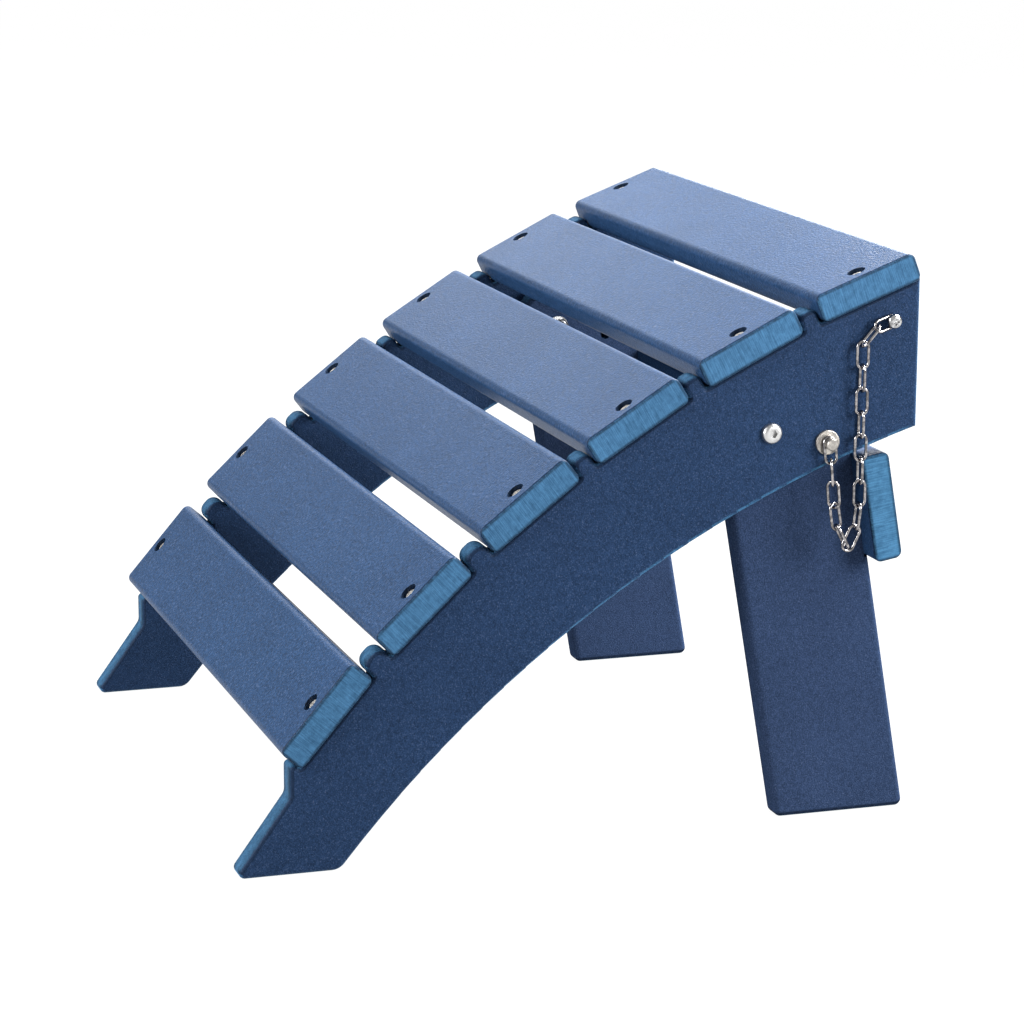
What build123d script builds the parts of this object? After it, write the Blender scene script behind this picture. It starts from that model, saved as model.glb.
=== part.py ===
from build123d import *
import os
from math import cos, radians, sin, sqrt, tan

# Folding footrest in poly-lumber boards on stainless hardware, standing on the floor at z = 0.
# +X runs along the slats, the toe end is at -Y and the high end at +Y. Millimetres.

# Boards
board_thickness = 20.0
board_edge_round = 3.4

# Slats, from the toe upwards
slat_count = 6
slat_length = 494.0
slat_width = 75.0
slat_overhang = 4.0
slat_edge_round = 5.0
slat_end_round = 1.5
front_slat_tilt = 49.2
slat_tilt_step = 5.64
lower_gap = 19.0
lower_gap_count = 2
upper_gap = 14.5

# Side rails
brow_height = 52.5
brow_round = 8.0
toe_angle = 54.0
toe_tip_round = 4.0
sole_length = 71.5
heel_round = 11.0
seat_setback = 7.3
first_seat_height = 71.9
lip_gap = 0.4
lip_round = 3.0
slat_play = 0.5
tooth_height = 11.5
tooth_crown = 3.0
pocket_round = 1.5
rail_rear_margin = 1.0
rail_rear_height = 101.0
underside_radius = 850.0

# Legs, hung inside the rails on the pivot bolts
leg_width = 93.5
leg_rake = 9.8
leg_side_gap = 0.5
leg_head_height = 30.0
leg_head_round = 24.0
leg_foot_round = 4.8
leg_edge_round = 4.6
pivot_inset = 105.5
pivot_drop = 99.5
pivot_edge_distance = 28.5
pin_spacing = 38.0
pin_drop = 15.0

# Stretcher, let into the back of the legs
stretcher_end_inset = 1.0
stretcher_rail_gap = 5.5
stretcher_housing = 3.5
housing_clearance = 0.25
stretcher_screw_spacing = 38.0

# Wood screws of the slats and the stretcher
counterbore_radius = 6.4
counterbore_depth = 5.4
screw_radius = 2.5
screw_hole_clearance = 0.25
screw_bite = 24.0
screw_tip_length = 5.0
screw_tip_radius = 0.9
screw_head_radius = 5.0
screw_head_height = 3.6
screw_head_round = 2.8
recess_length = 5.0
recess_width = 1.4
recess_depth = 1.8

# Pivot bolts, washers and lock nuts
bolt_radius = 4.0
bolt_clearance = 0.05
bolt_head_radius = 7.0
bolt_head_height = 4.2
bolt_head_round = 3.0
hex_socket_width = 5.0
hex_socket_depth = 2.6
washer_radius = 8.0
washer_thickness = 1.6
washer_leg_gap = 0.3
nut_width = 13.0
nut_height = 6.0
nut_corner_taper = 60.0
nut_collar_radius = 5.6
nut_collar_height = 2.0
nut_collar_round = 0.8
nut_face_recess = 1.4

# Lock pins, which slide in the rails
pin_radius = 4.0
pin_clearance = 0.06
pin_tip_chamfer = 1.0
pin_flange_radius = 8.4
pin_flange_thickness = 2.4
pin_flange_round = 0.6
pin_neck_radius = 2.5
pin_neck_length = 4.0
pin_head_radius = 4.2
pin_head_length = 4.6
pin_head_chamfer = 0.7

# Chain screws
chain_screw_inset = 21.0
chain_screw_drop = 27.5
chain_screw_radius = 2.1
chain_screw_neck = 4.6
chain_screw_bite = 14.0

# Chains, hanging from the chain screw in a bight to the pin's neck
long_strand_links = 11
short_strand_links = 5
chain_wire = 2.0
chain_link_width = 10.0
chain_link_gap = 0.35
chain_standoff = 5.3
chain_swing = 22.3
chain_shoulder_drop = 6.0
chain_shoulder_round = 7.0
chain_strand_round = 12.0
chain_bight_depth = 73.0
chain_bight_half = 8.5
chain_bight_rise = 18.0
chain_bight_slack = 1.8
chain_twist_links = 4

# Lateral places of the faces, on the +X side
rail_outer = slat_length / 2 - slat_overhang
rail_inner = rail_outer - board_thickness
leg_outer = rail_inner - leg_side_gap
leg_inner = leg_outer - board_thickness
stretcher_length = 2 * (rail_outer - stretcher_end_inset)
sides = (("right", 1), ("left", -1))

# Side profile: y to the rear from the plumb front edge of the rails, z up from the floor
toe_reach = brow_height / tan(radians(toe_angle))
toe_corner = Vector(-toe_reach, 0)
heel_corner = Vector(sole_length - toe_reach, 0)
brow = Vector(0, brow_height)

# Seats: the middle of each slat's underside, its direction up the slope and its outward normal
seat_tilts = [front_slat_tilt - slat_tilt_step * n for n in range(slat_count)]
slat_gaps = [lower_gap if n < lower_gap_count else upper_gap for n in range(slat_count - 1)]
slopes = [Vector(1, 0).rotate(Axis.Z, tilt) for tilt in seat_tilts]
normals = [slope.rotate(Axis.Z, 90) for slope in slopes]
gap_slopes = [slope.rotate(Axis.Z, -slat_tilt_step / 2) for slope in slopes]
seats = [Vector(seat_setback, first_seat_height) + slopes[0] * (slat_width / 2)]
for n, gap in enumerate(slat_gaps):
    to_gap = slopes[n] * (slat_width / 2) + gap_slopes[n] * gap
    seats.append(seats[n] + to_gap + slopes[n + 1] * (slat_width / 2))

# Rear edge and underside of the rails
rear_corner = seats[-1] + slopes[-1] * (slat_width / 2)
rail_rear_top = rear_corner + slopes[-1] * (rail_rear_margin / cos(radians(seat_tilts[-1])))
rail_rear_bottom = rail_rear_top - Vector(0, rail_rear_height)
underside_chord = rail_rear_bottom - heel_corner
underside_apothem = sqrt(underside_radius**2 - (underside_chord.length / 2) ** 2)
underside_middle = (rail_rear_bottom + heel_corner) / 2
underside_centre = underside_middle + underside_chord.normalized().rotate(Axis.Z, -90) * underside_apothem

# Leg frame: origin at the pivot, x square to the leg towards the rear, y up along the leg
pivot = rail_rear_top - Vector(pivot_inset, pivot_drop)
leg_across = Vector(1, 0).rotate(Axis.Z, leg_rake)
leg_up = leg_across.rotate(Axis.Z, 90)
lock = pivot + leg_across * pin_spacing - leg_up * pin_drop
chain_anchor = rail_rear_top - Vector(chain_screw_inset, chain_screw_drop)
leg_front = -pivot_edge_distance
leg_back = leg_width - pivot_edge_distance


def sole_height(across):
    """Height of the level sole in the leg frame, at a distance across the leg."""
    return -(pivot.Y + across * sin(radians(leg_rake))) / cos(radians(leg_rake))


# The stretcher's upper front corner lies under the rails, at the bottom of the housings in the legs
stretcher_front = leg_back - stretcher_housing
stretcher_start = pivot + leg_across * stretcher_front - underside_centre
stretcher_reach = underside_radius - stretcher_rail_gap
start_along = stretcher_start.dot(leg_up)
stretcher_top = sqrt(start_along**2 - stretcher_start.length**2 + stretcher_reach**2) - start_along

# The part's origin lies midway between the rounded toe tips and the rounded rear ends of the feet
foot_corner = pivot + leg_across * leg_back + leg_up * sole_height(leg_back)
toe_end = toe_corner.X + toe_tip_round / tan(radians(toe_angle / 2)) - toe_tip_round
foot_end = foot_corner.X - leg_foot_round / tan(radians((90 - leg_rake) / 2)) + leg_foot_round
y_middle = (toe_end + foot_end) / 2


def side_plane(x, origin=Vector(0, 0), across=Vector(1, 0)):
    """Plane square to X, whose own x follows a direction of the side profile."""
    return Plane(
        origin=(x, origin.X - y_middle, origin.Y),
        x_dir=(0, across.X, across.Y),
        z_dir=(1, 0, 0),
    )


def seat_plane(n):
    """Plane of a slat's seat: x along the slat, y up the slope, z outwards."""
    return Plane(
        origin=(0, seats[n].X - y_middle, seats[n].Y),
        x_dir=(1, 0, 0),
        z_dir=(0, normals[n].X, normals[n].Y),
    )


def outward_plane(sign, place):
    """Plane on a rail's outer face at a place of the side profile: y up, z outwards."""
    return Plane(
        origin=(sign * rail_outer, place.X - y_middle, place.Y),
        x_dir=(0, sign, 0),
        z_dir=(sign, 0, 0),
    )


def finish(part, name):
    """Label a finished piece and write it."""
    part.label = name
    export_step(part, f"parts/{name}.step")


os.makedirs("parts", exist_ok=True)
screw_line = rail_outer - board_thickness / 2
stretcher_screw_line = leg_outer - board_thickness / 2
screw_shank = board_thickness - counterbore_depth + screw_bite
stretcher_middle = stretcher_top - slat_width / 2
stretcher_plane = Plane(
    origin=side_plane(0, pivot, leg_across).from_local_coords((stretcher_front, stretcher_middle, 0)),
    x_dir=(1, 0, 0),
    z_dir=(0, leg_across.X, leg_across.Y),
)

# Crest of the rails: the lip before the first slat, then each seat and the tooth behind it
lip_base = seats[0] - slopes[0] * (slat_width / 2 + lip_gap)
lip_tip = lip_base + normals[0] * (lip_base.X / sin(radians(seat_tilts[0])))
crest = [lip_tip, lip_base]
crest_rounds = [lip_round, pocket_round]
for n, gap in enumerate(slat_gaps):
    tooth_round = (gap - 2 * slat_play - tooth_crown) / 2
    tooth_front = seats[n] + slopes[n] * (slat_width / 2 + slat_play)
    tooth_rear = seats[n + 1] - slopes[n + 1] * (slat_width / 2 + slat_play)
    tooth_rise = gap_slopes[n].rotate(Axis.Z, 90) * tooth_height
    crest += [tooth_front, tooth_front + tooth_rise, tooth_rear + tooth_rise, tooth_rear]
    crest_rounds += [pocket_round, tooth_round, tooth_round, pocket_round]

# Side rails
for side, sign in sides:
    with BuildPart() as rail:
        rail_plane = side_plane(min(sign * rail_inner, sign * rail_outer))
        with BuildSketch(rail_plane) as outline:
            with BuildLine():
                FilletPolyline(
                    heel_corner,
                    toe_corner,
                    brow,
                    *crest,
                    rail_rear_top,
                    rail_rear_bottom,
                    radius=[toe_tip_round, brow_round, *crest_rounds, 0],
                )
                RadiusArc(rail_rear_bottom, heel_corner, -underside_radius)
            make_face()
            fillet(outline.vertices().sort_by_distance((heel_corner.X, 0, 0))[0], heel_round)
        extrude(amount=board_thickness)
        fillet(rail.faces().filter_by(Axis.X).edges(), board_edge_round)
        with BuildSketch(rail_plane):
            with Locations((pivot.X, pivot.Y)):
                Circle(bolt_radius + bolt_clearance)
            with Locations((lock.X, lock.Y)):
                Circle(pin_radius + pin_clearance)
        extrude(amount=board_thickness, mode=Mode.SUBTRACT)
        with BuildSketch(side_plane(sign * rail_outer)):
            with Locations((chain_anchor.X, chain_anchor.Y)):
                Circle(chain_screw_radius)
        extrude(amount=-sign * chain_screw_bite, mode=Mode.SUBTRACT)
        for n in range(slat_count):
            with BuildSketch(seat_plane(n)):
                with Locations((sign * screw_line, 0)):
                    Circle(screw_radius)
            extrude(amount=-screw_bite, mode=Mode.SUBTRACT)
    finish(rail.part, f"{side}_rail")

# Slats
for n in range(slat_count):
    with BuildPart() as slat:
        with BuildSketch(seat_plane(n)):
            Rectangle(slat_length, slat_width)
        extrude(amount=board_thickness)
        fillet(slat.edges().filter_by(Axis.X), slat_edge_round)
        fillet(slat.faces().filter_by(Axis.X).edges(), slat_end_round)
        with Locations(seat_plane(n).offset(board_thickness)):
            with GridLocations(2 * screw_line, 0, 2, 1):
                CounterBoreHole(screw_radius + screw_hole_clearance, counterbore_radius, counterbore_depth)
    finish(slat.part, f"slat_{n + 1}")

# Legs
for side, sign in sides:
    with BuildPart() as leg:
        leg_plane = side_plane(min(sign * leg_inner, sign * leg_outer), pivot, leg_across)
        with BuildSketch(leg_plane):
            with BuildLine():
                FilletPolyline(
                    (leg_front, sole_height(leg_front)),
                    (leg_back, sole_height(leg_back)),
                    (leg_back, leg_head_height),
                    (leg_front, leg_head_height),
                    radius=[leg_foot_round, leg_foot_round, leg_head_round, leg_head_round],
                    close=True,
                )
            make_face()
        extrude(amount=board_thickness)
        fillet(leg.faces().filter_by(Axis.X).edges(), leg_edge_round)
        with BuildSketch(leg_plane):
            Circle(bolt_radius + bolt_clearance)
            with Locations((pin_spacing, -pin_drop)):
                Circle(pin_radius + pin_clearance)
        extrude(amount=board_thickness, mode=Mode.SUBTRACT)
        with BuildSketch(stretcher_plane):
            Rectangle(stretcher_length, slat_width + 2 * housing_clearance)
        extrude(amount=board_thickness, mode=Mode.SUBTRACT)
        with BuildSketch(stretcher_plane):
            with Locations((sign * stretcher_screw_line, 0)):
                with GridLocations(0, stretcher_screw_spacing, 1, 2):
                    Circle(screw_radius)
        extrude(amount=-screw_bite, mode=Mode.SUBTRACT)
    finish(leg.part, f"{side}_leg")

# Stretcher, from the same stock as the slats
with BuildPart() as stretcher:
    with BuildSketch(stretcher_plane):
        Rectangle(stretcher_length, slat_width)
    extrude(amount=board_thickness)
    fillet(stretcher.edges().filter_by(Axis.X), slat_edge_round)
    fillet(stretcher.faces().filter_by(Axis.X).edges(), slat_end_round)
    with Locations(stretcher_plane.offset(board_thickness)):
        with GridLocations(2 * stretcher_screw_line, stretcher_screw_spacing, 2, 2):
            CounterBoreHole(screw_radius + screw_hole_clearance, counterbore_radius, counterbore_depth)
finish(stretcher.part, "leg_stretcher")

# Hardware is turned along Z, with z = 0 where it bears on a board and +z outwards.
# Wood screw with a pan head and a cross recess
with BuildPart() as wood_screw:
    with BuildSketch():
        Circle(screw_head_radius)
    extrude(amount=screw_head_height)
    fillet(wood_screw.faces().sort_by(Axis.Z)[-1].edges(), screw_head_round)
    with BuildSketch(Plane.XY.offset(screw_head_height)):
        Rectangle(recess_length, recess_width)
        Rectangle(recess_width, recess_length)
    extrude(amount=-recess_depth, mode=Mode.SUBTRACT)
    with BuildSketch():
        Circle(screw_radius)
    extrude(amount=-screw_shank)
    chamfer(wood_screw.edges().sort_by(Axis.Z)[0], screw_tip_length, screw_radius - screw_tip_radius)

with BuildPart() as slat_screws:
    for n in range(slat_count):
        with Locations(seat_plane(n).offset(board_thickness - counterbore_depth)):
            with GridLocations(2 * screw_line, 0, 2, 1):
                add(wood_screw.part)
finish(slat_screws.part, "slat_screws")

with BuildPart() as stretcher_screws:
    with Locations(stretcher_plane.offset(board_thickness - counterbore_depth)):
        with GridLocations(2 * stretcher_screw_line, stretcher_screw_spacing, 2, 2):
            add(wood_screw.part)
finish(stretcher_screws.part, "stretcher_screws")

# Pivot bolt with a button head and a hexagon socket
washer_face = rail_outer - leg_inner + washer_leg_gap
nut_face = washer_face + washer_thickness
with BuildPart() as pivot_bolt:
    with BuildSketch():
        Circle(bolt_head_radius)
    extrude(amount=bolt_head_height)
    fillet(pivot_bolt.faces().sort_by(Axis.Z)[-1].edges(), bolt_head_round)
    with BuildSketch(Plane.XY.offset(bolt_head_height)):
        RegularPolygon(hex_socket_width / 2, 6, major_radius=False)
    extrude(amount=-hex_socket_depth, mode=Mode.SUBTRACT)
    with BuildSketch():
        Circle(bolt_radius)
    extrude(amount=-(nut_face + nut_height + nut_collar_height - nut_face_recess))

with BuildPart() as pivot_washer:
    with BuildSketch(Plane.XY.offset(-washer_face)):
        Circle(washer_radius)
        Circle(bolt_radius + bolt_clearance, mode=Mode.SUBTRACT)
    extrude(amount=-washer_thickness)

# Lock nut: a hexagon with its corners turned down, and the round collar of its insert
with BuildPart() as pivot_nut:
    with BuildSketch(Plane.XY.offset(-nut_face)):
        RegularPolygon(nut_width / 2, 6, major_radius=False)
    extrude(amount=-nut_height)
    with BuildSketch(Plane.XY.offset(-nut_face - nut_height)):
        Circle(nut_width / 2)
    extrude(amount=nut_height, taper=-nut_corner_taper, mode=Mode.INTERSECT)
    with BuildSketch(Plane.XY.offset(-nut_face - nut_height)):
        Circle(nut_collar_radius)
    extrude(amount=-nut_collar_height)
    fillet(pivot_nut.faces().sort_by(Axis.Z)[0].edges(), nut_collar_round)
    with BuildSketch(Plane.XY.offset(-nut_face)):
        Circle(bolt_radius)
    extrude(amount=-(nut_height + nut_collar_height), mode=Mode.SUBTRACT)

# Lock pin: shaft, flange on the rail, neck for the last link and head
neck_face = pin_flange_thickness + pin_neck_length
with BuildPart() as lock_pin:
    with BuildSketch():
        Circle(pin_flange_radius)
    extrude(amount=pin_flange_thickness)
    fillet(lock_pin.faces().sort_by(Axis.Z)[-1].edges(), pin_flange_round)
    with BuildSketch():
        Circle(pin_radius)
    extrude(amount=-board_thickness)
    chamfer(lock_pin.faces().sort_by(Axis.Z)[0].edges(), pin_tip_chamfer)
    with BuildSketch(Plane.XY.offset(pin_flange_thickness)):
        Circle(pin_neck_radius)
    extrude(amount=pin_neck_length)
    with BuildSketch(Plane.XY.offset(neck_face)):
        Circle(pin_head_radius)
    extrude(amount=pin_head_length)
    chamfer(lock_pin.faces().sort_by(Axis.Z)[-1].edges(), pin_head_chamfer)

# Chain screw, whose head stands off the rail by a neck for the first link
with BuildPart() as chain_screw:
    with BuildSketch(Plane.XY.offset(chain_screw_neck)):
        Circle(screw_head_radius)
    extrude(amount=screw_head_height)
    fillet(chain_screw.faces().sort_by(Axis.Z)[-1].edges(), screw_head_round)
    with BuildSketch(Plane.XY.offset(chain_screw_neck + screw_head_height)):
        Rectangle(recess_length, recess_width)
        Rectangle(recess_width, recess_length)
    extrude(amount=-recess_depth, mode=Mode.SUBTRACT)
    with BuildSketch(Plane.XY.offset(chain_screw_neck)):
        Circle(chain_screw_radius)
    extrude(amount=-(chain_screw_neck + chain_screw_bite))

hardware = (
    ("pivot_bolt", pivot_bolt, pivot),
    ("pivot_washer", pivot_washer, pivot),
    ("pivot_nut", pivot_nut, pivot),
    ("lock_pin", lock_pin, lock),
    ("chain_screw", chain_screw, chain_anchor),
)
for side, sign in sides:
    for name, piece, place in hardware:
        with BuildPart() as fitted:
            with Locations(outward_plane(sign, place)):
                add(piece.part)
        finish(fitted.part, f"{side}_{name}")

# Strands of the chains in the side profile: from the screw's neck down to the bight, and up to the pin's neck
strand_front = chain_anchor.X - chain_swing
shoulder = Vector(strand_front, chain_anchor.Y - chain_shoulder_drop)
bight = Vector(strand_front - chain_bight_half, lock.Y - chain_bight_depth)
with BuildLine() as long_strand:
    FilletPolyline(
        chain_anchor + (chain_anchor - shoulder).normalized() * (chain_screw_radius + chain_link_gap / 2),
        shoulder,
        bight + Vector(chain_bight_half, chain_bight_rise),
        bight,
        radius=[chain_shoulder_round, chain_strand_round],
    )
with BuildLine() as short_strand:
    FilletPolyline(
        bight,
        bight + Vector(-chain_bight_half, chain_bight_rise),
        lock + Vector(0, pin_neck_radius + chain_link_gap / 2),
        radius=chain_strand_round,
    )

# Joints between the links, evenly along each strand, and how far each stands off the rail
chain_link_count = long_strand_links + short_strand_links
long_pitch = long_strand.wire().length / long_strand_links
short_pitch = (short_strand.wire().length - chain_bight_slack) / short_strand_links
long_runs = [long_pitch * k for k in range(long_strand_links + 1)]
short_runs = [chain_bight_slack + short_pitch * (k + 1) for k in range(short_strand_links)]
joints = [long_strand.wire().position_at(run, position_mode=PositionMode.LENGTH) for run in long_runs]
joints += [short_strand.wire().position_at(run, position_mode=PositionMode.LENGTH) for run in short_runs]
standoffs = [chain_screw_neck / 2] + [chain_standoff] * (chain_link_count - 1)
standoffs.append(pin_flange_thickness + pin_neck_length / 2)

# One link: round wire along an oval, long enough to reach past both of its joints
link_reach = (chain_wire + chain_link_gap) / 2
with BuildSketch() as link_loop:
    SlotOverall(long_pitch + 2 * link_reach, chain_link_width - chain_wire)
link_path = link_loop.face().outer_wire()
with BuildPart() as link:
    with BuildSketch(Plane(origin=link_path @ 0, z_dir=link_path % 0)):
        Circle(chain_wire / 2)
    sweep(path=link_path)

# Links turn by a quarter from one to the next; the last ones turn on to lie flat against the pin
for side, sign in sides:
    places = [
        Vector(sign * (rail_outer + standoff), joint.X - y_middle, joint.Y)
        for standoff, joint in zip(standoffs, joints)
    ]
    runs = [(after - before).normalized() for before, after in zip(places, places[1:])]
    pulls = [runs[2 * (k // 2)] for k in range(chain_link_count)] + [runs[-1]]
    link_planes = []
    for k in range(chain_link_count):
        link_start = places[k] - pulls[k] * link_reach
        link_end = places[k + 1] + pulls[k + 1] * link_reach
        along = (link_end - link_start).normalized()
        twist = max(0, k + 1 + chain_twist_links - chain_link_count) / chain_twist_links
        facing = Vector(1, 0, 0) - along * along.X
        facing = facing.rotate(Axis((0, 0, 0), along), 90 * (k + twist))
        link_planes.append(Plane(origin=(link_start + link_end) / 2, x_dir=along, z_dir=facing))
    with BuildPart() as chain:
        with Locations(*link_planes):
            add(link.part)
    finish(chain.part, f"{side}_chain")
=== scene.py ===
import bmesh
import bpy
from mathutils import Matrix, Vector


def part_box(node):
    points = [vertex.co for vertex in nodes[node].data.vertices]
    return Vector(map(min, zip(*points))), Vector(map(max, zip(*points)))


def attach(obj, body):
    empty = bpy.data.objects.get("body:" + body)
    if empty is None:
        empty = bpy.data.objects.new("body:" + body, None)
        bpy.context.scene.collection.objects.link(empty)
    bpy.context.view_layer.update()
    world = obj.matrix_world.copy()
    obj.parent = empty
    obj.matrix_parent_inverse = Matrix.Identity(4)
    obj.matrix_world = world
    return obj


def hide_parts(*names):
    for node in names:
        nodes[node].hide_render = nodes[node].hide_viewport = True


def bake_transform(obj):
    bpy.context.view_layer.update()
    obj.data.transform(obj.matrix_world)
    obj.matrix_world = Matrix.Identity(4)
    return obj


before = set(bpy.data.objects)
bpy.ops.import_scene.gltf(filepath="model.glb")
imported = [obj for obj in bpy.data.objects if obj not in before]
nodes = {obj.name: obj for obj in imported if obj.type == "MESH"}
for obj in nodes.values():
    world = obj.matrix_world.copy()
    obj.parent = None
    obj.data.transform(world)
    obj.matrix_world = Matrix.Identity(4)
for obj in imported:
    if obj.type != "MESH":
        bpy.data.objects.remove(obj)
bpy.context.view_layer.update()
sides = ("left", "right")
slatCount = 6
lengthwise = Vector((1.0, 0.0, 0.0))  # slats and stretcher run along X
rearward = Vector((0.0, 1.0, 0.0))
upwards = Vector((0.0, 0.0, 1.0))
print("frame loaded:", len(nodes), "nodes")


# a socket that plain expressions work on, each adding its own node
class Wire:
    def __init__(self, finish, socket):
        self.finish = finish
        self.socket = socket

    def maths(self, operation, *others):
        inputs = dict(enumerate((self, *others)))
        return self.finish.node("ShaderNodeMath", {"operation": operation}, inputs)

    def vectors(self, operation, inputs, output=0):
        return self.finish.node("ShaderNodeVectorMath", {"operation": operation}, inputs, output)

    def __add__(self, other):
        return self.maths("ADD", other)

    def __sub__(self, other):
        return self.maths("SUBTRACT", other)

    def __rsub__(self, other):
        return self.maths("MULTIPLY_ADD", -1.0, other)

    def __mul__(self, other):
        return self.maths("MULTIPLY", other)

    def __abs__(self):
        return self.maths("ABSOLUTE")

    __radd__ = __add__
    __rmul__ = __mul__

    def larger(self, other):
        return self.maths("MAXIMUM", other)

    def between(self, low, high):  # 0 below low, 1 above high, smooth from one to the other
        inputs = {"Value": self, "From Min": low, "From Max": high}
        return self.finish.node("ShaderNodeMapRange", {"interpolation_type": "SMOOTHSTEP"}, inputs)

    def dot(self, direction):
        return self.vectors("DOT_PRODUCT", {0: self, 1: direction}, "Value")

    def moved(self, step):
        return self.vectors("ADD", {0: self, 1: step})

    def less(self, other):
        return self.vectors("SUBTRACT", {0: self, 1: other})

    def scaled(self, factor):
        return self.vectors("SCALE", {0: self, "Scale": factor})


# one material, whose nodes are added call by call
class Finish:
    def __init__(self, name):
        self.material = bpy.data.materials.new(name)
        self.material.use_nodes = True
        self.tree = self.material.node_tree
        self.tree.nodes.clear()
        self.shader = self.tree.nodes.new("ShaderNodeBsdfPrincipled")
        output = self.tree.nodes.new("ShaderNodeOutputMaterial")
        self.tree.links.new(self.shader.outputs["BSDF"], output.inputs["Surface"])
        self.place = self.node("ShaderNodeTexCoord", {}, {}, "Object")
        self.normal = Wire(self, self.place.socket.node.outputs["Normal"])

    def node(self, kind, settings, inputs, output=0):
        made = self.tree.nodes.new(kind)
        for key, value in settings.items():
            setattr(made, key, value)
        for key, value in inputs.items():
            self.feed(made.inputs[key], value)
        return Wire(self, made.outputs[output])

    def feed(self, socket, value):
        if isinstance(value, Wire):
            self.tree.links.new(value.socket, socket)
        else:
            socket.default_value = (*value, 1.0) if socket.type == "RGBA" else value

    def mix(self, first, second, share):  # 6, 7 and 2 are the node's colour sockets
        inputs = {0: share, 6: first, 7: second}
        return self.node("ShaderNodeMix", {"data_type": "RGBA"}, inputs, 2)

    def noise(self, vector, size, detail=2.0, roughness=0.5):  # size of a blotch in metres
        inputs = {"Vector": vector, "Scale": 1 / size, "Detail": detail, "Roughness": roughness}
        return self.node("ShaderNodeTexNoise", {}, inputs)

    def along(self, direction, distance):  # a fixed direction, drawn out by a distance that varies
        inputs = {0: direction, "Scale": distance}
        return self.node("ShaderNodeVectorMath", {"operation": "SCALE"}, inputs)

    def bump(self, height, depth, strength):
        inputs = {"Height": height, "Distance": depth, "Strength": strength}
        return self.node("ShaderNodeBump", {}, inputs)

    def surface(self, **values):
        for name, value in values.items():
            self.feed(self.shader.inputs[name.replace("_", " ")], value)


def dress(node, finish):
    node.data.materials.clear()
    node.data.materials.append(finish.material)


def added(name, data):
    thing = bpy.data.objects.new(name, data)
    bpy.context.scene.collection.objects.link(thing)
    return thing


def faceDirection(node):  # normal of the widest flat face
    digits = 3  # normals that round alike are one face
    areas = {}
    normals = {}
    for polygon in node.data.polygons:
        key = tuple(round(abs(part), digits) for part in polygon.normal)
        areas[key] = areas.get(key, 0.0) + polygon.area
        normals.setdefault(key, polygon.normal.normalized())
    return normals[max(areas, key=areas.get)]


def reach(node, direction):  # middle of the board along a direction, and half its extent
    spread = [vertex.co.dot(direction) for vertex in node.data.vertices]
    return (max(spread) + min(spread)) / 2, (max(spread) - min(spread)) / 2


def boxMiddle(name):
    low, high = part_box(name)
    return (Vector(low) + Vector(high)) / 2


def gained(color, gain):
    return tuple(part * factor for part, factor in zip(color, gain))


# poly lumber: navy skin, and paler stock wherever a saw or router has cut it
# lengths are in metres, and a pair is where a look starts and where it is full
lumber = {
    "skinDark": (0.0068, 0.0168, 0.0398),
    "skinLight": (0.0159, 0.0386, 0.0928),
    "speckShare": 0.8,  # of the fine grain in the skin, beside the mottle
    "skinRange": (0.28, 0.72),
    "fleck": (0.054, 0.071, 0.117),  # scattered pale grains in the skin
    "fleckRange": (0.60, 0.72),
    "fleckShare": 0.6,
    "cutDark": (0.0154, 0.0504, 0.1023),
    "cutLight": (0.0465, 0.1318, 0.2445),
    "shadow": (0.0040, 0.0075, 0.0156),  # in screw holes and round the cuts
    "boardStep": (0.31, 0.17, 0.23),  # from one board's grain to the next
    "grainRoughness": 0.6,
    "mottle": 4.0e-3,
    "cloud": 0.06,
    "cloudDepth": 0.30,
    "skinRoughness": 0.36,
    "cutRoughness": 0.60,
    "roughnessSpread": 0.10,
    "bumpStrength": 0.8,
}
# the sawn ends and screw holes of slats, stretcher and legs
sawing = {
    "pitch": 1.0e-3,
    "stretch": 0.94,  # how far saw lines are drawn out through the board
    "fineGrain": 0.9e-3,
    "shares": (0.5, 0.2, 0.3),  # of saw lines, fine grain and mottle
    "range": (0.24, 0.76),
    "endFull": 0.7,  # share of the end band where it is full
    "endTurn": (0.55, 0.90),  # how squarely a sawn face looks along the board
    "rimWidth": 3.0e-3,  # painted shade: a dark line round a sawn end
    "rimFull": 0.4,
    "rimTurn": (0.10, 0.35),
    "cornerTurn": (0.75, 0.95),
    "rimRagShare": 0.5,  # of the fine grain in the ragged edge of this painted shade line, beside the mottle
    "rimRagRange": (0.38, 0.58),
    "frayLeast": 0.5,
    "edgeBand": 0.010,  # along the long edges, where no screw hole lies
    "edgeFull": 0.8,
    "holeTurn": (0.3, 0.6),
    "shadowShare": 0.8,
}
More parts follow.
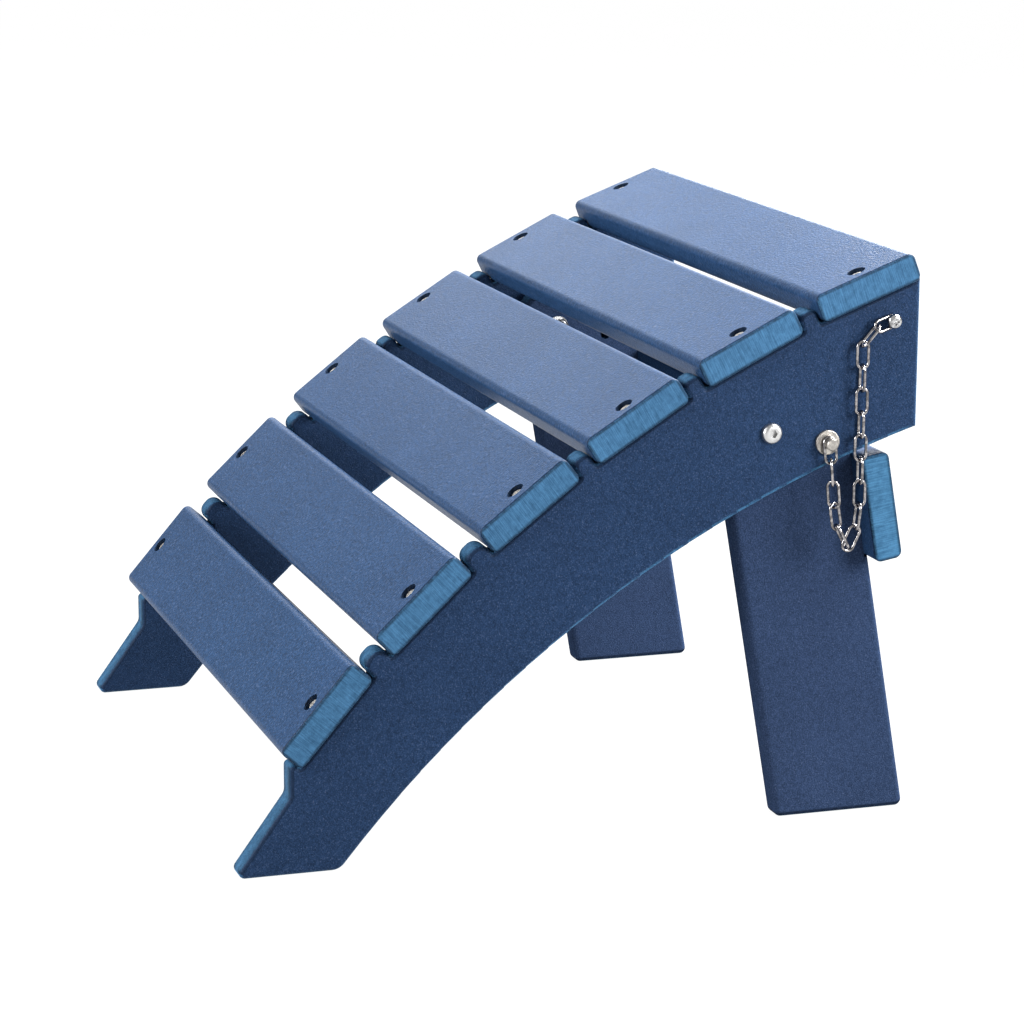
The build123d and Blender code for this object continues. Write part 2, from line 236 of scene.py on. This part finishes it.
# what is set stock by stock; a gain multiplies red, green and blue
slatStock = {
    "skinGain": (0.92, 1.03, 1.03),
    "cutGain": (1.0, 1.0, 1.0),
    "grain": 1.7e-3,
    "grainDepth": 4.5e-4,
    "specular": 0.05,
    "endBand": 0.004,  # how far from an end the sawn face may lie
}
stretcherStock = {
    # painted light: these gains lift the stretcher, whose sides and end lie in shade
    "skinGain": (1.20, 1.25, 1.25),
    "cutGain": (1.20, 1.20, 1.15),
    "grain": 1.2e-3,
    "grainDepth": 3.5e-4,
    "specular": 0.01,
    "endBand": 0.004,
}
legStock = {
    "skinGain": (1.70, 1.19, 1.06),
    "cutGain": (1.0, 1.0, 1.0),
    "grain": 0.9e-3,
    "grainDepth": 4.0e-4,
    "specular": 0.0,
    "endBand": 0.06,
}
railStock = {
    "skinGain": (1.02, 0.95, 0.94),
    "cutGain": (0.80, 0.80, 0.80),
    "grain": 0.9e-3,
    "grainDepth": 4.0e-4,
    "specular": 0.03,
    "cutSpeck": 0.6,  # share of the fine grain in a routed edge, beside the mottle
    "cutRange": (0.30, 0.70),
    "edgeRound": 3.4e-3,  # as in the part
    "frayLeast": 0.2,
    "frayGain": 1.6,
    # how far a face looks up, down or to the rear
    "upTurn": (0.2, 0.8),
    "downTurn": (-0.15, -0.02),
    "rearTurn": (0.02, 0.15),
    # how far round the edge, from 0 at the face to 1 where the rounding ends
    "routedSpan": (0.15, 0.85),
    "paleLitSpan": (0.0, 0.70),
    "rearSpan": (0.4, 0.9),
    "shadeLineStart": (0.005, 0.03),
    "shadeLineStop": (0.20, 0.55),
    "shadeLineShare": 0.6,  # painted shade: a dark line between the skin and a routed edge
    "edgeShade": 0.6,  # painted shade: how far a routed edge darkens from its middle to the faces
    "shadeLeast": 0.6,
    "shadeGain": 0.8,
    "edgeDim": 0.2,  # painted shade: routed edges darker all over
    "upSpared": 0.7,  # share of both painted shades that an edge facing up is spared, so it reads lit from above
    "paleLitGain": 0.3,  # how much paler the edges under the rail and behind it are made: painted light
}


# one board's finish
class BoardFinish(Finish):
    def __init__(self, board, number, stock):
        super().__init__(board.name + "Lumber")
        self.board = board
        self.stock = stock
        self.face = faceDirection(board)
        self.spot = self.place.moved(tuple(part * number for part in lumber["boardStep"]))
        self.speck = self.grit(self.spot, stock["grain"])
        self.mottle = self.noise(self.spot, lumber["mottle"])

    def grit(self, vector, size):
        return self.noise(vector, size, roughness=lumber["grainRoughness"])

    def withMottle(self, wire, share):
        return wire * share + self.mottle * (1 - share)

    def skin(self):
        dark = gained(lumber["skinDark"], self.stock["skinGain"])
        light = gained(lumber["skinLight"], self.stock["skinGain"])
        blotches = self.withMottle(self.speck, lumber["speckShare"])
        plain = self.mix(dark, light, blotches.between(*lumber["skinRange"]))
        flecks = self.speck.between(*lumber["fleckRange"]) * lumber["fleckShare"]
        return self.mix(plain, lumber["fleck"], flecks)

    def cut(self, share):
        dark = gained(lumber["cutDark"], self.stock["cutGain"])
        light = gained(lumber["cutLight"], self.stock["cutGain"])
        return self.mix(dark, light, share)

    # a length of stock: skin all round, sawn only at its ends
    def sawn(self, length):
        through = self.place.dot(self.face) * sawing["stretch"]
        saw = self.grit(self.spot.less(self.along(self.face, through)), sawing["pitch"])
        fine = self.grit(self.spot, sawing["fineGrain"])
        sawShare, fineShare, mottleShare = sawing["shares"]
        lines = saw * sawShare + fine * fineShare + self.mottle * mottleShare
        # distances from the sides of the board's own box, negative inside it
        directions = (length, self.face.cross(length), self.face)
        spans = [(direction, *reach(self.board, direction)) for direction in directions]
        endwise, edgewise, facewise = [
            abs(self.place.dot(direction) - middle) - half for direction, middle, half in spans
        ]
        band, rimWidth, edgeBand = self.stock["endBand"], sawing["rimWidth"], sawing["edgeBand"]
        atEnd = endwise.between(-band, -band * sawing["endFull"])
        ending = abs(self.normal.dot(length))
        isCut = ending.between(*sawing["endTurn"]) * atEnd
        # painted shade: a ragged dark line round each sawn end, over its rounding
        outline = edgewise.larger(facewise).between(-rimWidth, -rimWidth * sawing["rimFull"])
        corner = outline.larger(1 - ending.between(*sawing["cornerTurn"]))
        rimRag = self.withMottle(fine, sawing["rimRagShare"]).between(*sawing["rimRagRange"])
        ragged = rimRag * (1 - sawing["frayLeast"]) + sawing["frayLeast"]
        rim = corner * ending.between(*sawing["rimTurn"]) * atEnd * ragged
        # painted shade: the walls of the screw holes are darkened towards the shadow colour
        offEdge = 1 - edgewise.between(-edgeBand, -edgeBand * sawing["edgeFull"])
        facing = abs(self.normal.dot(self.face))
        holeShade = (1 - facing.between(*sawing["holeTurn"])) * offEdge * (1 - atEnd)
        bare = self.mix(self.skin(), self.cut(lines.between(*sawing["range"])), isCut)
        color = self.mix(bare, lumber["shadow"], rim.larger(holeShade) * sawing["shadowShare"])
        return color, isCut, self.speck * (1 - isCut) + saw * isCut

    # shaped out of a wide board: routed all round; painted light makes the edges paler below and
    # behind, painted shade darkens the rest
    def routed(self):
        stock = self.stock
        middle, half = reach(self.board, self.face)
        offMiddle = abs(self.place.dot(self.face) - middle)
        turned = (half - offMiddle) * (1 / stock["edgeRound"])
        frayed = turned * (self.speck * stock["frayGain"] + stock["frayLeast"])
        rise = self.normal.dot(upwards)
        upward = rise.between(*stock["upTurn"])
        behind = self.normal.dot(rearward).between(*stock["rearTurn"]) * (1 - upward)
        rear = behind * (1 - turned.between(*stock["rearSpan"]))
        # painted light: edges facing down, and the rear rounding, are widened into paler cut stock
        paleLitFaces = (1 - rise.between(*stock["downTurn"])).larger(rear)
        paleLit = frayed.between(*stock["paleLitSpan"]) * paleLitFaces
        isCut = frayed.between(*stock["routedSpan"]).larger(paleLit)
        # painted shade: a dark line where the skin meets a routed edge
        beside = turned.between(*stock["shadeLineStart"]) * (1 - turned.between(*stock["shadeLineStop"]))
        shadeLine = beside * (1 - paleLitFaces) * stock["shadeLineShare"]
        # painted shade on the routed edges, ragged by the grain, deepest near the faces and
        # lighter where they face up
        raggedShade = self.speck * stock["shadeGain"] + stock["shadeLeast"]
        nearFace = offMiddle.between(0.0, half) * raggedShade
        dimmed = (nearFace * stock["edgeShade"] + stock["edgeDim"]) * (1 - paleLitFaces)
        shade = dimmed * (1 - upward * stock["upSpared"])
        grit = self.withMottle(self.speck, stock["cutSpeck"])
        clean = self.cut(grit.between(*stock["cutRange"]))
        cut = clean.scaled(paleLitFaces * stock["paleLitGain"] + (1 - shade))
        color = self.mix(self.mix(self.skin(), cut, isCut), lumber["shadow"], shadeLine)
        return color, isCut, self.speck


def lumberFinish(board, number, stock, length):
    finish = BoardFinish(board, number, stock)
    color, isCut, grain = finish.sawn(length) if length else finish.routed()
    cloud = finish.noise(finish.spot, lumber["cloud"])
    polish = lumber["cutRoughness"] - lumber["skinRoughness"]
    spread = lumber["roughnessSpread"]
    skinRoughness = finish.mottle * spread + (lumber["skinRoughness"] - spread / 2)
    finish.surface(
        Base_Color=color.scaled(cloud * lumber["cloudDepth"] + (1 - lumber["cloudDepth"] / 2)),
        Roughness=isCut * polish + skinRoughness,
        Specular_IOR_Level=stock["specular"],
        Normal=finish.bump(grain, stock["grainDepth"], lumber["bumpStrength"]),
    )
    return finish


def legDirection(node):  # along the leg's longest edge
    spots = node.data.vertices
    ends = [edge.vertices for edge in node.data.edges]
    runs = [spots[last].co - spots[first].co for first, last in ends]
    return max(runs, key=lambda run: run.length).normalized()


boards = [(f"slat_{place}", slatStock, lengthwise) for place in range(1, slatCount + 1)]
boards.append(("leg_stretcher", stretcherStock, lengthwise))
for side in sides:
    boards.append((f"{side}_leg", legStock, legDirection(nodes[f"{side}_leg"])))
    boards.append((f"{side}_rail", railStock, None))
for number, (name, stock, length) in enumerate(boards):
    dress(nodes[name], lumberFinish(nodes[name], number, stock, length))
    print(name, "finished")

# stainless hardware: clean metal, with dull blotches of painted dark reflection
steel = {
    "darkReflectionColor": (0.085, 0.085, 0.09),
    "darkReflectionSize": 4.0e-3,  # metres
    "darkReflectionDetail": 3.0,
    "darkReflectionRoughness": 0.6,
    "darkReflectionSpan": 0.2,
    "roughnessSpread": 0.2,
    "lineSize": 4.0e-4,
    "lineDepth": 4.0e-5,
    "lineStrength": 0.15,
}
hardware = {
    "pivot_bolt": dict(color=(0.58, 0.58, 0.58), roughness=0.32, darkReflection=0.25, darkReflectionFrom=0.45),
    "pivot_washer": dict(color=(0.58, 0.58, 0.58), roughness=0.30, darkReflection=0.50, darkReflectionFrom=0.45),
    "pivot_nut": dict(color=(0.24, 0.24, 0.24), roughness=0.24, darkReflection=0.80, darkReflectionFrom=0.38),
    "lock_pin": dict(color=(0.50, 0.47, 0.43), roughness=0.34, darkReflection=0.50, darkReflectionFrom=0.42),
    "chain_screw": dict(color=(0.66, 0.66, 0.66), roughness=0.15, darkReflection=0.65, darkReflectionFrom=0.45),
    "chain": dict(color=(0.42, 0.40, 0.40), roughness=0.14, darkReflection=0.75, darkReflectionFrom=0.40),
}
woodScrew = dict(color=(0.78, 0.76, 0.73), roughness=0.42, darkReflection=0.20, darkReflectionFrom=0.45)


def steelFinish(name, plan):
    finish = Finish(name)
    size, detail = steel["darkReflectionSize"], steel["darkReflectionDetail"]
    blotch = finish.noise(finish.place, size, detail, steel["darkReflectionRoughness"])
    lines = finish.noise(finish.place, steel["lineSize"])
    start = plan["darkReflectionFrom"]
    # painted reflection: dull blotches stand in for the dark reflections in the metal
    darkReflection = blotch.between(start, start + steel["darkReflectionSpan"]) * plan["darkReflection"]
    spread = steel["roughnessSpread"]
    finish.surface(
        Base_Color=finish.mix(plan["color"], steel["darkReflectionColor"], darkReflection),
        Metallic=1.0,
        Roughness=blotch * spread + (plan["roughness"] - spread / 2),
        Normal=finish.bump(lines, steel["lineDepth"], steel["lineStrength"]),
    )
    return finish


for name, plan in hardware.items():
    finish = steelFinish(name + "Steel", plan)
    for side in sides:
        dress(nodes[f"{side}_{name}"], finish)
screwFinish = steelFinish("woodScrewSteel", woodScrew)
for name in ("slat_screws", "stretcher_screws"):
    dress(nodes[name], screwFinish)
print("hardware finished")


# chains: split where they hang lowest; the long strand is held by the frame body, the short one
# stays where it lies
def looseParts(mesh):
    left = set(mesh.verts)
    while left:
        part = {left.pop()}
        edge = list(part)
        while edge:
            here = edge.pop()
            for spoke in here.link_edges:
                there = spoke.other_vert(here)
                if there not in part:
                    part.add(there)
                    edge.append(there)
        left -= part
        yield part


def chainStrand(side, name, isKept):
    strand = added(side + name, nodes[f"{side}_chain"].data.copy())
    mesh = bmesh.new()
    mesh.from_mesh(strand.data)
    for link in list(looseParts(mesh)):
        if not isKept(sum(vertex.co.y for vertex in link) / len(link)):
            bmesh.ops.delete(mesh, geom=list(link), context="VERTS")
    mesh.to_mesh(strand.data)
    mesh.free()
    strand.data.shade_smooth()
    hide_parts(f"{side}_chain")
    return strand


for side in sides:
    spots = [vertex.co for vertex in nodes[f"{side}_chain"].data.vertices]
    bight = min(spots, key=lambda spot: spot.z).copy()
    pin = boxMiddle(f"{side}_lock_pin")
    pin.x = bight.x
    longStrand = chainStrand(side, "LongStrand", lambda y: y > bight.y)
    shortStrand = chainStrand(side, "ShortStrand", lambda y: y <= bight.y)
    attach(longStrand, "frame")
    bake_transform(shortStrand)
    print(side, "chain split at", tuple(round(part, 4) for part in bight))

# floor: its own light keeps it white up to the horizon, so its colour is dark
floorPlan = {
    "half": 40.0,  # metres
    "color": (0.03, 0.03, 0.03),
    "patchColor": (0.04, 0.04, 0.04),
    "patch": 0.4,
    "roughness": 0.9,
    "specular": 0.0,
    "glowColor": (1.0, 1.0, 1.0),
    "glow": 0.98,
}
half = floorPlan["half"]
corners = [(-half, -half, 0), (half, -half, 0), (half, half, 0), (-half, half, 0)]
floorMesh = bpy.data.meshes.new("floor")
floorMesh.from_pydata(corners, [], [(0, 1, 2, 3)])
floor = added("floor", floorMesh)
floorFinish = Finish("floorPaper")
patches = floorFinish.noise(floorFinish.place, floorPlan["patch"])
floorFinish.surface(
    Base_Color=floorFinish.mix(floorPlan["color"], floorPlan["patchColor"], patches),
    Roughness=floorPlan["roughness"],
    Specular_IOR_Level=floorPlan["specular"],
    Emission_Color=floorPlan["glowColor"],
    Emission_Strength=floorPlan["glow"],
)
dress(floor, floorFinish)
print("floor laid")

# soft studio light, all aimed at the middle of the footrest
studio = {
    "rearTop": {"place": (-0.4, 1.5, 2.2), "size": (1.8, 1.4), "power": 439.0},
    "front": {"place": (0.2, -2.5, 1.2), "size": (2.0, 1.4), "power": 179.0},
    "fill": {"place": (1.5, 1.3, 0.9), "size": (0.8, 0.8), "power": 64.0},
    "sheenRear": {"place": (-2.2, 1.6, 1.2), "size": (1.2, 0.9), "power": 46.0},
    "sheenSide": {"place": (-2.6, 0.45, 1.2), "size": (1.2, 0.8), "power": 7.0},
    "sheenLow": {"place": (-2.7, 0.0, 1.0), "size": (1.4, 1.0), "power": 4.4},
}
aim = Vector((0.0, 0.0, 0.2))
for name, plan in studio.items():
    lamp = bpy.data.lights.new(name, "AREA")
    lamp.shape = "RECTANGLE"
    lamp.size, lamp.size_y = plan["size"]
    lamp.energy = plan["power"]
    stand = added(name, lamp)
    stand.location = plan["place"]
    stand.rotation_euler = (aim - stand.location).to_track_quat("-Z", "Y").to_euler()
skyPlan = {"Color": (1.0, 1.0, 1.0, 1.0), "Strength": 0.5}
sky = bpy.data.worlds.new("sky")
sky.use_nodes = True
for name, value in skyPlan.items():
    sky.node_tree.nodes["Background"].inputs[name].default_value = value
bpy.context.scene.world = sky
bpy.context.scene.view_settings.view_transform = "Standard"
print("studio lit")

# camera fitted to the outline of the boards in the photograph
cameraPlan = {
    "place": (2.29344, -0.71570, 0.71906),  # metres
    "right": (0.306061, 0.952003, 0.004209),
    "up": (-0.210597, 0.063392, 0.975515),
    "focal": 3394.5,  # pixels of a 1024-pixel picture
    "picture": 1024,
    "sensor": 36.0,  # millimetres
    "farthest": 200.0,  # metres, past the far edge of the floor
}
right = Vector(cameraPlan["right"]).normalized()
back = right.cross(Vector(cameraPlan["up"])).normalized()
turn = Matrix((right, back.cross(right), back)).transposed().to_4x4()
lens = bpy.data.cameras.new("camera")
lens.sensor_width = cameraPlan["sensor"]
lens.lens = cameraPlan["focal"] / cameraPlan["picture"] * cameraPlan["sensor"]
lens.clip_end = cameraPlan["farthest"]
camera = added("camera", lens)
camera.matrix_world = Matrix.Translation(cameraPlan["place"]) @ turn
bpy.context.scene.camera = camera
print("camera placed")
